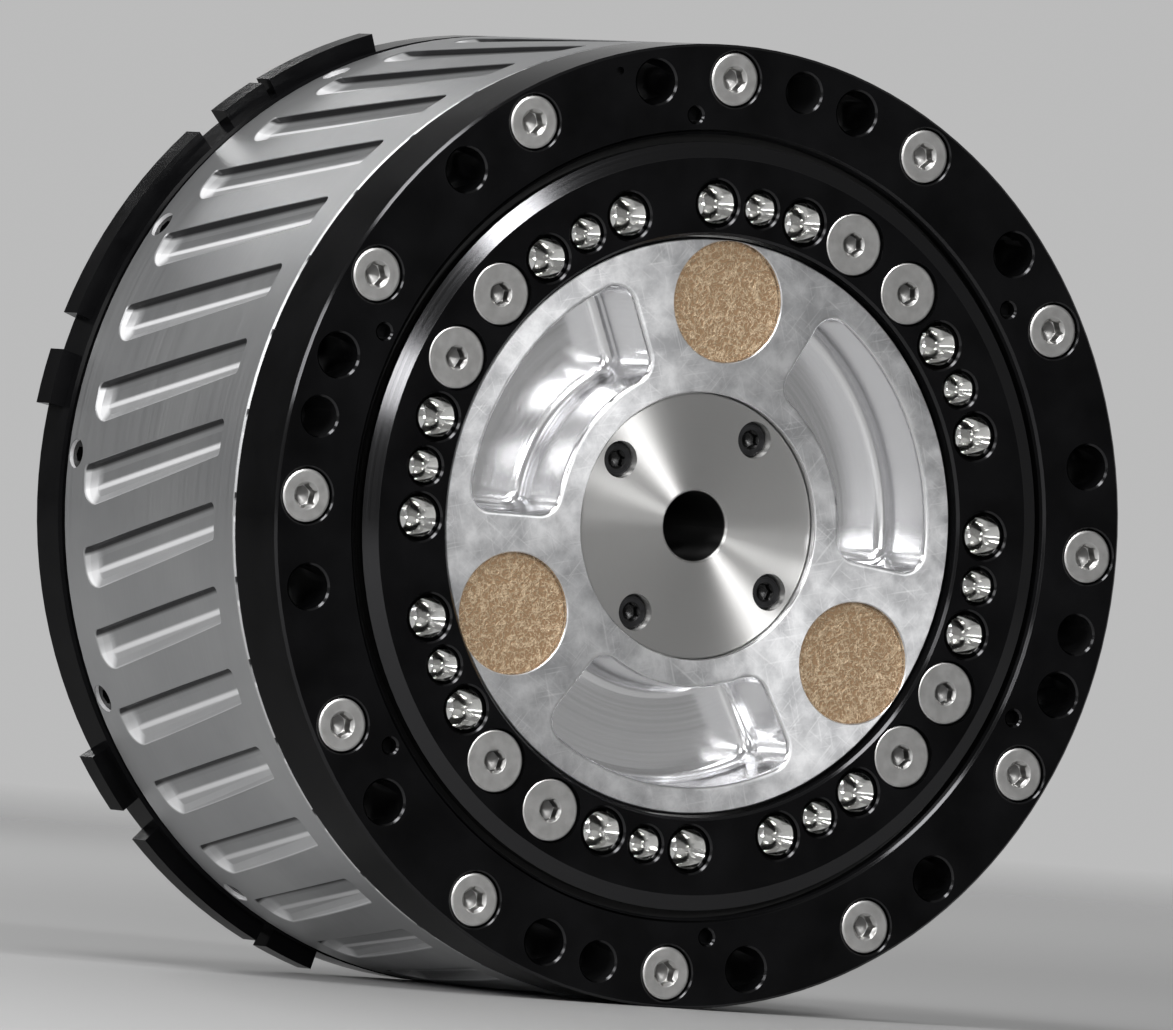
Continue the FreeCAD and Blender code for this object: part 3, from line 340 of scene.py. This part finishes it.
def ringed_piece(name, rings):
    """A source mesh from rings of (radius, depth), each joined to the next and the ends closed."""
    mesh = bpy.data.meshes.new(name)
    bm = bmesh.new()
    loops = []
    for ring in rings:
        loop = []
        for step, (radius, depth) in enumerate(ring):
            turn = math.tau * step / RING_STEPS
            loop.append(bm.verts.new((radius * math.cos(turn), depth, radius * math.sin(turn))))
        loops.append(loop)
    for loop in (loops[0], loops[-1]):
        middle = bm.verts.new((0.0, loop[0].co.y, 0.0))
        for step in range(RING_STEPS):
            bm.faces.new((loop[step - 1], loop[step], middle))
    for first, second in zip(loops, loops[1:]):
        for step in range(RING_STEPS):
            bm.faces.new((first[step - 1], first[step], second[step], second[step - 1]))
    bmesh.ops.recalc_face_normals(bm, faces=bm.faces)
    own_place = bm.verts.layers.float_vector.new("own_place")
    for vert in bm.verts:
        vert[own_place] = vert.co
    bm.to_mesh(mesh)
    bm.free()
    mesh.shade_smooth()
    mesh.set_sharp_from_angle(angle=math.radians(35))
    return bpy.data.objects.new(name, mesh)


def seat_tree():
    """Sets a piece on pairs of seats round a circle about the module's axis."""
    tree = bpy.data.node_groups.new("pieces_on_circle", "GeometryNodeTree")
    sockets = [
        ("Piece", "NodeSocketObject"), ("Finish", "NodeSocketMaterial"), ("Count", "NodeSocketInt"),
        ("Circle Radius", "NodeSocketFloat"), ("Middle Angle", "NodeSocketFloat"),
        ("Half Step", "NodeSocketFloat"), ("Loose Turn", "NodeSocketFloat"), ("Seed", "NodeSocketInt"),
    ]
    tree.interface.new_socket("Geometry", in_out="OUTPUT", socket_type="NodeSocketGeometry")
    for name, kind in sockets:
        tree.interface.new_socket(name, in_out="INPUT", socket_type=kind)
    given = tree.nodes.new("NodeGroupInput").outputs

    def add(kind, inputs, **settings):
        node = tree.nodes.new(kind)
        for name, value in settings.items():
            setattr(node, name, value)
        for name, value in inputs.items():
            if isinstance(value, bpy.types.NodeSocket):
                tree.links.new(value, node.inputs[name])
            else:
                node.inputs[name].default_value = value
        return node.outputs

    circle = add("GeometryNodeMeshCircle", {"Vertices": given["Count"], "Radius": given["Circle Radius"]})
    both = tree.nodes.new("GeometryNodeJoinGeometry")
    for operation in ("ADD", "SUBTRACT"):
        angle = add("ShaderNodeMath", {0: given["Middle Angle"], 1: given["Half Step"]}, operation=operation)
        turned = add("ShaderNodeMath", {0: angle[0], 1: -1.0}, operation="MULTIPLY")
        upright = add("ShaderNodeCombineXYZ", {"X": math.pi / 2, "Y": turned[0]})
        seats = add("GeometryNodeTransform", {"Geometry": circle["Mesh"], "Rotation": upright[0]})
        tree.links.new(seats[0], both.inputs[0])
    single = add("GeometryNodeMergeByDistance", {"Geometry": both.outputs[0], "Distance": 0.1 * MM})
    at = add("ShaderNodeSeparateXYZ", {0: add("GeometryNodeInputPosition", {})[0]})
    outward = add("ShaderNodeMath", {0: at["Z"], 1: at["X"]}, operation="ARCTAN2")
    low = add("ShaderNodeMath", {0: given["Loose Turn"], 1: -1.0}, operation="MULTIPLY")
    loose = tree.nodes.new("FunctionNodeRandomValue")
    tree.links.new(low[0], loose.inputs[2])
    tree.links.new(given["Loose Turn"], loose.inputs[3])
    tree.links.new(given["Seed"], loose.inputs["Seed"])
    spin = add("ShaderNodeMath", {0: loose.outputs[1], 1: outward[0]}, operation="SUBTRACT")
    facing = add("ShaderNodeCombineXYZ", {"Y": spin[0]})
    piece = add("GeometryNodeObjectInfo", {"Object": given["Piece"], "As Instance": True})
    placed = add(
        "GeometryNodeInstanceOnPoints",
        {"Points": single[0], "Instance": piece["Geometry"], "Rotation": facing[0]},
    )
    real = add("GeometryNodeRealizeInstances", {"Geometry": placed[0]})
    finished = add("GeometryNodeSetMaterial", {"Geometry": real[0], "Material": given["Finish"]})
    tree.links.new(finished[0], tree.nodes.new("NodeGroupOutput").inputs[0])
    return tree


SEATS = seat_tree()


def seat_round(name, source, finish, count, circle, middle, half_step=0.0, loose=0.0, seed=1):
    """A piece of the object: the source on its seats round the circle, as one plain mesh."""
    values = {
        "Piece": source, "Finish": finish.material, "Count": count, "Circle Radius": circle,
        "Middle Angle": math.radians(middle), "Half Step": math.radians(half_step),
        "Loose Turn": loose, "Seed": seed,
    }
    piece = bpy.data.objects.new(name, bpy.data.meshes.new(name))
    bpy.context.scene.collection.objects.link(piece)
    modifier = piece.modifiers.new("seats", "NODES")
    modifier.node_group = SEATS
    for item in SEATS.interface.items_tree:
        if item.in_out == "INPUT":
            modifier[item.identifier] = values[item.name]
    evaluated = piece.evaluated_get(bpy.context.evaluated_depsgraph_get())
    mesh = bpy.data.meshes.new_from_object(evaluated)
    piece.modifiers.clear()
    piece.data = mesh
    bpy.data.objects.remove(source)
    return piece


def socket_screw(name, head, face, seat, shank, tip, half_key, rim):
    """A low-head screw along Y: head and shank are radii, face, seat and tip are depths, and
    half_key is half the width of the key that fits its socket."""
    inward = math.copysign(1.0, seat - face)
    socket_end = face + 0.7 * (seat - face)
    return ringed_piece(name, [
        round_ring(shank - 0.3 * MM, tip),
        round_ring(shank, tip - 0.3 * MM * inward),
        round_ring(shank, seat),
        round_ring(head - 0.1 * MM, seat),
        round_ring(head, seat - 0.1 * MM * inward),
        round_ring(head, face + rim * inward),
        round_ring(head - 0.3 * rim, face + 0.3 * rim * inward),
        round_ring(head - rim, face),
        round_ring(head - 1.1 * rim, face),
        round_ring(1.4 * half_key, face),
        round_ring(1.34 * half_key, face),
        round_ring(1.30 * half_key, face + 0.02 * half_key * inward),
        hex_ring(half_key, face + 0.32 * half_key * inward),
        hex_ring(half_key, socket_end),
        round_ring(0.55 * half_key, socket_end + 0.12 * half_key * inward),
        round_ring(0.1 * half_key, socket_end + 0.35 * half_key * inward),
    ])


STEEL_BRIGHT = (0.64, 0.635, 0.625)
STEEL_DULL = (0.52, 0.515, 0.505)
SOCKET_REACH = 1.0 * MM


def screw_finish(name, bright, dull, roughness):
    """Steel turned on its own axis: rings follow the screw's own place."""
    finish = Finish(name, bright, 1.0, roughness)
    own = finish.add("ShaderNodeAttribute", attribute_name="own_place").outputs["Vector"]
    lathe = lathe_marks(finish, 9000.0, own)
    clouds = finish.noise(700.0, detail=4.0)
    skin = finish.mix(finish.span(clouds, 0.35, 0.65, 0.0, 1.0), dull, bright)
    socket_painted_shade = finish.span(finish.length(AROUND, own), SOCKET_REACH, 1.08 * SOCKET_REACH, 1.0, 0.0)
    # Painted shade in the socket: its walls and bottom are darkened to three tenths of the dull steel.
    finish.into("Base Color", finish.mix(socket_painted_shade, skin, tuple(0.3 * part for part in dull)))
    finish.into("Roughness", finish.span(lathe, 0.3, 0.7, roughness - 0.05, roughness + 0.06))
    finish.bump(lathe, 0.05, 0.01 * MM)
    return finish


screw_steel = screw_finish("screw_steel", STEEL_BRIGHT, STEEL_DULL, 0.36)
flange_screws = seat_round(
    "flange_socket_screws",
    socket_screw(
        "flange_screw", head=2.75 * MM, face=0.2 * MM, seat=2.35 * MM, shank=1.5 * MM,
        tip=15.5 * MM, half_key=1.05 * MM, rim=0.3 * MM,
    ),
    screw_steel, count=12, circle=FLANGE_CIRCLE, middle=0.0, loose=math.pi / 6, seed=4,
)
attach(flange_screws, "housing")
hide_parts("flange_screws")

# The output ring: a second black ring, which turns with the tool that is bolted to it. Its
# outer edge is bevelled, and the lathe left that bevel glossy.
BEVEL_INNER = 37.5 * MM
OUTPUT_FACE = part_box("output_ring")[0].y


def output_gloss(finish):
    bevel = finish.span(finish.length(AROUND), BEVEL_INNER - 0.03 * MM, BEVEL_INNER, 0.0, 1.0)
    return finish.math("MAXIMUM", bevel, broken_edges(finish, OUTPUT_FACE))


anodised_black("output_black", output_gloss).dress("output_ring")

# The output ring's eight flat screws, of plated steel, in four pairs. They go through the ring
# and the bearing into the carrier, and their broad faces are turned flat.
PAIR_ANGLE = 56.2
PAIR_HALF_STEP = 7.0
output_screws = seat_round(
    "output_flat_screws",
    socket_screw(
        "output_screw", head=3.2 * MM, face=-0.2 * MM, seat=1.6 * MM, shank=1.5 * MM,
        tip=13.6 * MM, half_key=0.95 * MM, rim=0.2 * MM,
    ),
    screw_steel, count=4, circle=33.4 * MM, middle=PAIR_ANGLE, half_step=PAIR_HALF_STEP,
    loose=math.pi / 6, seed=7,
)
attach(output_screws, "output")
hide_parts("output_screws")

# The tool's bolt holes: bright threaded inserts pressed into the output ring, and plain
# ground bushes for its dowels between them. Both are blackened with the ring at their mouths, and
# behind them the holes run on into the bearing ring.
POLISHED = (0.97, 0.97, 0.96)
polished = Finish("polished_steel", POLISHED, 1.0, 0.2)
mouth = polished.span(polished.depth(), -0.12 * MM, -0.02 * MM, 1.0, 0.0)
polished.into("Base Color", polished.mix(mouth, POLISHED, BLACK_SKIN))
polish_marks = polished.noise(1500.0, (1, 0.3, 1), detail=4.0)
polished.into("Roughness", polished.span(polish_marks, 0.3, 0.7, 0.06, 0.12))
polished.bump(polish_marks, 0.05, 0.03 * MM)
polished.dress("thread_inserts", "dowel_bushes", "bearing_inner_ring")

# The planet carrier: clear aluminium, turned, with three kidney pockets milled into it. Its face
# is cloudy, with light handling scratches, and the pockets and edges are bright from the cutter.
CARRIER_BRIGHT = (0.90, 0.902, 0.91)
CARRIER_DULL = (0.56, 0.563, 0.575)
CUT_BRIGHT = (0.92, 0.92, 0.93)
KIDNEY_TOP = 0.62 * MM
carrier = Finish("carrier_aluminium", CARRIER_BRIGHT, 1.0, 0.38)
mottle = carrier.noise(420.0, detail=6.0, roughness=0.65)
clouds = carrier.math("ADD", carrier.math("MULTIPLY", carrier.noise(150.0, detail=2.0), 0.45),
                      carrier.math("MULTIPLY", mottle, 0.55))
cutter = lathe_marks(carrier, 2600.0)
in_kidney = carrier.span(carrier.depth(), KIDNEY_TOP, KIDNEY_TOP + 0.1 * MM, 0.0, 1.0)
carrier_lay = carrier.blend(in_kidney, mottle, carrier.math("MULTIPLY", cutter, 0.4))
carrier_face = carrier.mix(carrier.span(clouds, 0.4, 0.62, 0.0, 1.0), CARRIER_DULL, CARRIER_BRIGHT)
SCRATCH_TURNS = (0.3, 1.0, 1.8, 2.5)
SCRATCH_STRETCH = (3400, 100, 190)
SCRATCH_SHARE = 0.5
scratches = 0.0
for scratch_turn in SCRATCH_TURNS:
    scratch_lie = {"Vector": carrier.place, "Rotation": (0, scratch_turn, 0)}
    scratched = carrier.add("ShaderNodeMapping", scratch_lie).outputs[0]
    streaks = carrier.noise(1.0, SCRATCH_STRETCH, detail=2.0, place=scratched)
    scratches = carrier.math("ADD", carrier.span(streaks, 0.60, 0.72, 0.0, 1.0), scratches)
scratch_share = carrier.math("MULTIPLY", scratches, SCRATCH_SHARE)
carrier_face = carrier.mix(scratch_share, carrier_face, CUT_BRIGHT)
carrier.into("Base Color", carrier.mix(in_kidney, carrier_face, CUT_BRIGHT))
face_roughness = carrier.span(mottle, 0.35, 0.65, 0.44, 0.56)
kidney_roughness = carrier.span(cutter, 0.3, 0.7, 0.16, 0.22)
carrier.into("Roughness", carrier.blend(in_kidney, face_roughness, kidney_roughness))
ring_lay(carrier, 0.65)
carrier.bump(carrier_lay, 0.12, 0.02 * MM)
carrier.dress("carrier_front", "carrier_rear")

# The planets' journal pins: sintered bronze, pressed into the carrier a little below its
# face. The pressed powder leaves a fine crinkle of light creases on a brown skin.
BRONZE_CREASE = (1.0, 0.80, 0.55)
BRONZE_SKIN = (0.37, 0.235, 0.13)
FOLDS_PER_METRE = (1100.0, 2300.0)
bronze = Finish("sintered_bronze", BRONZE_SKIN, 0.4, 0.45)
speck = bronze.noise(4200.0, detail=3.0, roughness=0.7)
crinkle = 0.0
for folds in FOLDS_PER_METRE:
    slack = bronze.math("ABSOLUTE", bronze.math("SUBTRACT", bronze.noise(folds, detail=2.0), 0.5))
    crinkle = bronze.math("MAXIMUM", bronze.span(slack, 0.0, 0.06, 1.0, 0.0), crinkle)
crinkle = bronze.math("MULTIPLY", crinkle, bronze.span(speck, 0.35, 0.65, 0.2, 1.0))
bronze.into("Base Color", bronze.mix(crinkle, BRONZE_SKIN, BRONZE_CREASE))
bronze.into("Roughness", bronze.span(speck, 0.35, 0.65, 0.55, 0.30))
bronze.bump(crinkle, 0.9, 0.15 * MM)
bronze.dress("planet_pin_1", "planet_pin_2", "planet_pin_3")

# The centre hub with its cable tube: turned steel. The fine rings of the lathe draw the light
# out into a bow tie across its face. Its bore is coloured near black, as painted shade in the deep tube.
HUB_BRIGHT = (0.62, 0.615, 0.605)
BORE_PAINTED_SHADE = (0.02, 0.02, 0.02)
BORE_EDGE = 3.55 * MM
hub = Finish("turned_hub", HUB_BRIGHT, 1.0, 0.3)
hub_lathe = lathe_marks(hub, 7000.0)
in_bore = hub.span(hub.length(AROUND), BORE_EDGE, BORE_EDGE + 0.1 * MM, 1.0, 0.0)
# Painted shade: the bore inside BORE_EDGE is coloured near black.
hub.into("Base Color", hub.mix(in_bore, HUB_BRIGHT, BORE_PAINTED_SHADE))
hub.into("Roughness", hub.span(hub_lathe, 0.3, 0.7, 0.34, 0.44))
ring_lay(hub, 0.97)
hub.bump(hub_lathe, 0.1, 0.01 * MM)
hub.dress("centre_shaft")

# The hub's four cap screws, of blackened steel, set deep in its face. They hold it to the
# carrier. The can's grub screws and the carrier's own screws have the same finish.
OXIDE_BRIGHT = (0.03, 0.03, 0.032)
OXIDE_DULL = (0.015, 0.015, 0.016)
black_oxide = screw_finish("black_oxide", OXIDE_BRIGHT, OXIDE_DULL, 0.28)
black_oxide.into("Metallic", 0.4)
hub_screws = seat_round(
    "hub_cap_screws",
    socket_screw(
        "hub_screw", head=1.75 * MM, face=2.2 * MM, seat=3.5 * MM, shank=1.0 * MM,
        tip=8.0 * MM, half_key=0.75 * MM, rim=0.2 * MM,
    ),
    black_oxide, count=4, circle=11.05 * MM, middle=PAIR_ANGLE, loose=math.pi / 6, seed=3,
)
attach(hub_screws, "output")
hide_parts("hub_screws")
black_oxide.dress("housing_plugs", "carrier_screws")

# The electronics' cover on the back: moulded gloss black, with lugs round its rim, held by six
# cap screws. Its sockets take the power and signal leads.
COVER_SKIN = (0.004, 0.004, 0.0044)
COVER_FLOW = (0.006, 0.006, 0.0065)
gloss = Finish("gloss_black", COVER_SKIN, 0.0, 0.14)
gloss_flow = gloss.noise(260.0, detail=3.0)
gloss_share = gloss.span(gloss_flow, 0.3, 0.7, 0.0, 1.0)
gloss.into("Base Color", gloss.mix(gloss_share, COVER_SKIN, COVER_FLOW))
gloss.into("Roughness", gloss.span(gloss_flow, 0.3, 0.7, 0.10, 0.20))
gloss.bump(gloss.noise(900.0, detail=2.0), 0.04, 0.05 * MM)
gloss.into("Specular IOR Level", 0.04)
gloss.dress("rear_cover")
cover_screws = seat_round(
    "cover_cap_screws",
    socket_screw(
        "cover_screw", head=2.2 * MM, face=53.2 * MM, seat=51.6 * MM, shank=1.25 * MM,
        tip=42.6 * MM, half_key=0.75 * MM, rim=0.25 * MM,
    ),
    black_oxide, count=6, circle=45.2 * MM, middle=15.0, loose=math.pi / 6, seed=5,
)
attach(cover_screws, "housing")
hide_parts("cover_screws")
inner_finish("socket_plastic", (0.022, 0.022, 0.023), 0.0, 0.42, 3000.0).dress(
    "power_socket", "signal_socket"
)
inner_finish("board", (0.012, 0.075, 0.035), 0.0, 0.4, 1200.0).dress("driver_board")
inner_finish("brass", (0.72, 0.53, 0.22), 1.0, 0.25, 900.0).dress("board_standoffs", "socket_pins")

# The studio: a pale floor under the object that fades out round it, soft lamps, and an even
# grey all round, with a pale backdrop behind the object.
FLOOR_SIZE = 1.6
FLOOR_SOLID = 0.4
FLOOR_GREY = (0.40, 0.40, 0.40)
floor_mesh = bpy.data.meshes.new("floor")
floor_bm = bmesh.new()
bmesh.ops.create_grid(floor_bm, x_segments=1, y_segments=1, size=FLOOR_SIZE)
bmesh.ops.translate(floor_bm, verts=floor_bm.verts, vec=(0.0, 0.0, cad_box[0].z))
floor_bm.to_mesh(floor_mesh)
floor_bm.free()
floor = bpy.data.objects.new("floor", floor_mesh)
bpy.context.scene.collection.objects.link(floor)
pale = Finish("pale_floor", FLOOR_GREY, 0.0, 0.6)
clear = pale.add("ShaderNodeBsdfTransparent").outputs[0]
faded = pale.add("ShaderNodeMixShader", {
    0: pale.span(pale.length((1, 1, 0)), FLOOR_SOLID, FLOOR_SIZE, 0.0, 1.0),
    1: pale.shader.outputs[0], 2: clear,
})
pale.connect(faded.outputs[0], pale.tree.nodes["Material Output"].inputs["Surface"])
floor_mesh.materials.append(pale.material)

BEHIND = (0.482, 0.876, 0.0)
ROUND_LEVEL = 0.20
BACK_LEVEL = 0.50
BACK_BEGINS = 0.75
BACK_FULL = 0.97
world = bpy.data.worlds.new("studio")
world.use_nodes = True
sky = world.node_tree
direction = sky.nodes.new("ShaderNodeTexCoord")
facing = sky.nodes.new("ShaderNodeVectorMath")
facing.operation = "DOT_PRODUCT"
facing.inputs[1].default_value = BEHIND
rise = sky.nodes.new("ShaderNodeMapRange")
rise.interpolation_type = "SMOOTHSTEP"
rise.inputs["From Min"].default_value = BACK_BEGINS
rise.inputs["From Max"].default_value = BACK_FULL
rise.inputs["To Min"].default_value = ROUND_LEVEL
rise.inputs["To Max"].default_value = BACK_LEVEL
sky.links.new(direction.outputs["Generated"], facing.inputs[0])
sky.links.new(facing.outputs["Value"], rise.inputs["Value"])
sky.links.new(rise.outputs[0], sky.nodes["Background"].inputs["Color"])
bpy.context.scene.world = world


def soft_lamp(name, place, width, height, power):
    """A soft box that faces the object."""
    light = bpy.data.lights.new(name, "AREA")
    light.shape = "RECTANGLE"
    light.size = width
    light.size_y = height
    light.energy = power
    lamp = bpy.data.objects.new(name, light)
    lamp.location = place
    lamp.rotation_euler = (-Vector(place)).to_track_quat("-Z", "Y").to_euler()
    bpy.context.scene.collection.objects.link(lamp)


soft_lamp("key_above_front", (0.05, -0.86, 0.51), width=0.14, height=0.14, power=3.4)
soft_lamp("front_left", (-0.18, -0.95, 0.24), width=0.14, height=0.12, power=1.4)
soft_lamp("top_left", (-0.40, -0.36, 0.85), width=0.34, height=0.34, power=3.0)
soft_lamp("left", (-0.89, -0.15, 0.42), width=0.70, height=0.30, power=4.2)
soft_lamp("low_left", (-0.62, -0.78, 0.06), width=0.30, height=0.10, power=1.0)
soft_lamp("back_above", (0.12, 0.95, 0.29), width=0.32, height=0.14, power=2.2)

# The camera stands where the photograph was taken from, fitted to the screws and rims in it.
# It has a long lens and a slight roll.
CAMERA_PLACE = (-1.1264, -2.0212, -0.0058)
LOOK_ASIDE = 28.84
LOOK_UP = 0.15
ROLL = 4.42
LENS = 699.5
lens = bpy.data.cameras.new("camera")
lens.lens = LENS
lens.sensor_width = 36.0
lens.sensor_fit = "HORIZONTAL"
lens.clip_end = 30.0
camera = bpy.data.objects.new("camera", lens)
aside = Matrix.Rotation(math.radians(-LOOK_ASIDE), 4, "Z")
tilt = Matrix.Rotation(math.radians(90 + LOOK_UP), 4, "X")
roll = Matrix.Rotation(math.radians(ROLL), 4, "Z")
camera.matrix_world = Matrix.Translation(CAMERA_PLACE) @ aside @ tilt @ roll
bpy.context.scene.collection.objects.link(camera)
bpy.context.scene.camera = camera
bpy.context.scene.view_settings.view_transform = "Standard"
